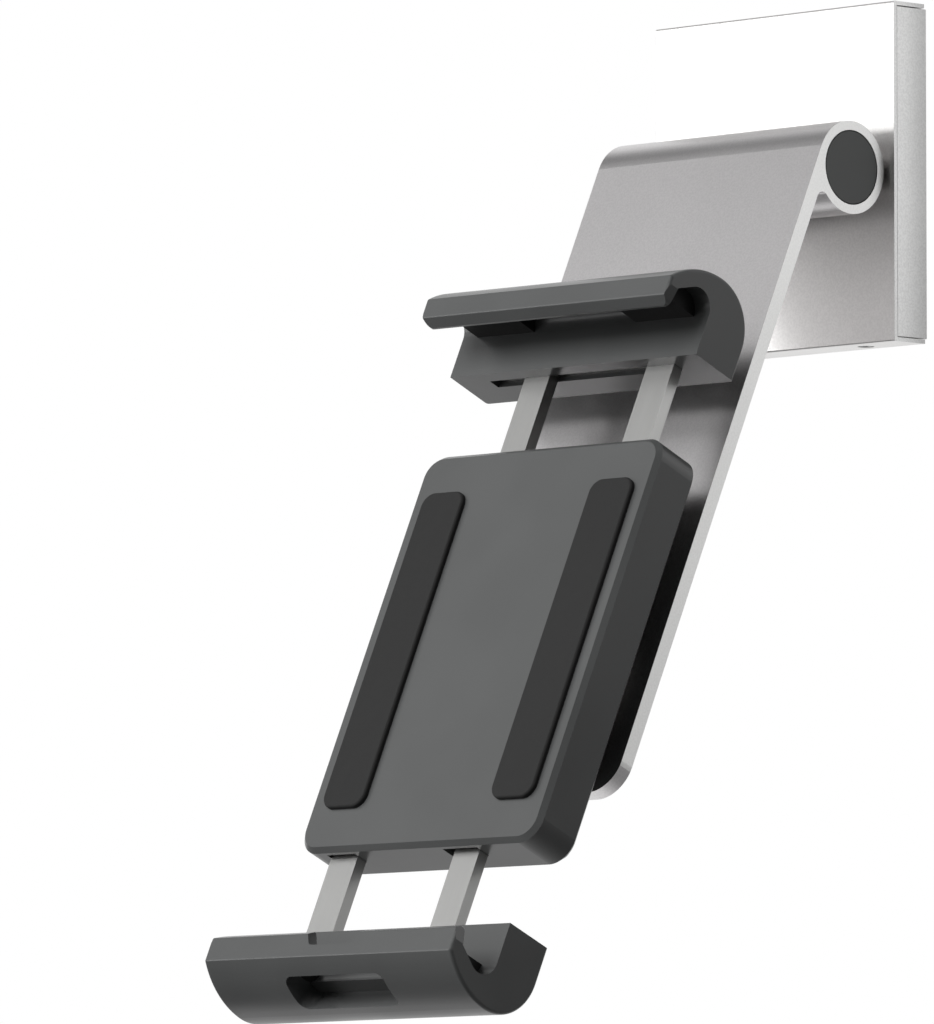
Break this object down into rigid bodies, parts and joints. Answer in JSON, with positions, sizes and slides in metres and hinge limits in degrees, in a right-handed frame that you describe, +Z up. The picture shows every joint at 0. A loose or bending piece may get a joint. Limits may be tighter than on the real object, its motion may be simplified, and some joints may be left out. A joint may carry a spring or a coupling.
{
  "type": "tablet wall mount",
  "caption": "Wall mount for a tablet: flat wall box, tilting plate arm on a tube hinge, and a turning holder whose two hooked jaws slide together over a rack and pinion.",
  "frame": {"origin": "centre of the wall box's back face, level with the tube's axis", "axes": "+X along the arm's tube, +Y into the wall, +Z up; the arm hangs out from vertical by its tilt"},
  "size_m": [0.0826, 0.1617, 0.2469],
  "materials": {
    "wall_aluminium": "satin anodised sheet",
    "arm_aluminium": "satin anodised, fine blasted grain",
    "turned_aluminium": "turned",
    "cast_alloy": "as cast",
    "shaft_steel": "turned and zinc plated",
    "slide_steel": "stamped and zinc plated",
    "screw_steel": "zinc plated",
    "jaw_plastic": "fine matt texture, charcoal",
    "plug_plastic": "matt",
    "bush_plastic": "natural bearing plastic",
    "pad_rubber": "soft matt rubber",
    "tip_brass": "turned"
  },
  "bodies": {
    "wall": {"wall_base": "wall_aluminium", "wall_cover": "wall_aluminium", "cover_screws": "screw_steel", "hinge_neck": "cast_alloy", "neck_screws": "screw_steel", "tilt_shaft": "shaft_steel", "thrust_washers": "shaft_steel", "disc_springs": "shaft_steel", "shaft_nuts": "shaft_steel"},
    "arm": {"arm_profile": "arm_aluminium", "tilt_bushes": "bush_plastic", "end_plug_left": "plug_plastic", "end_plug_right": "plug_plastic", "swivel_base": "turned_aluminium", "swivel_screws": "screw_steel", "friction_disc": "bush_plastic", "swivel_retainer": "shaft_steel", "retainer_screws": "screw_steel"},
    "holder": {"holder_shell": "jaw_plastic", "holder_cover": "jaw_plastic", "holder_screws": "screw_steel", "swivel_spring": "shaft_steel", "pinion_axle": "shaft_steel", "pinion_spring": "shaft_steel", "back_pads": "pad_rubber", "clamp_screw": "screw_steel", "clamp_tip": "tip_brass"},
    "upper_jaw": {"upper_jaw": "jaw_plastic", "upper_jaw_pads": "pad_rubber", "upper_slide": "slide_steel", "upper_slide_screws": "screw_steel"},
    "lower_jaw": {"lower_jaw": "jaw_plastic", "lower_jaw_pads": "pad_rubber", "lower_slide": "slide_steel", "lower_slide_screws": "screw_steel"},
    "pinion": {"jaw_pinion": "slide_steel"}
  },
  "joints": [
    {"name": "arm_tilt", "type": "hinge", "parent": "wall", "child": "arm", "pos_m": [0, -0.0239, 0], "axis": [-1, 0, 0], "range_deg": [-24.4, 65.6]},
    {"name": "holder_swivel", "type": "hinge", "parent": "arm", "child": "holder", "pos_m": [0, -0.08281, -0.12986], "axis": [0, -0.9107, 0.4131], "continuous": true},
    {"name": "upper_jaw_slide", "type": "slide", "parent": "holder", "child": "upper_jaw", "axis": [0, 0.4131, 0.9107], "range_m": [-0.021, 0.025]},
    {"name": "lower_jaw_slide", "type": "slide", "parent": "holder", "child": "lower_jaw", "axis": [0, -0.4131, -0.9107], "range_m": [-0.021, 0.025]},
    {"name": "pinion_turn", "type": "hinge", "parent": "holder", "child": "pinion", "pos_m": [0, -0.08281, -0.12986], "axis": [0, -0.9107, 0.4131], "range_deg": [-160, 135]}
  ],
  "couplings": [
    {"joint": "lower_jaw_slide", "follows": "upper_jaw_slide", "ratio": 1},
    {"joint": "pinion_turn", "follows": "upper_jaw_slide", "rad_per_m": -111.11}
  ]
}
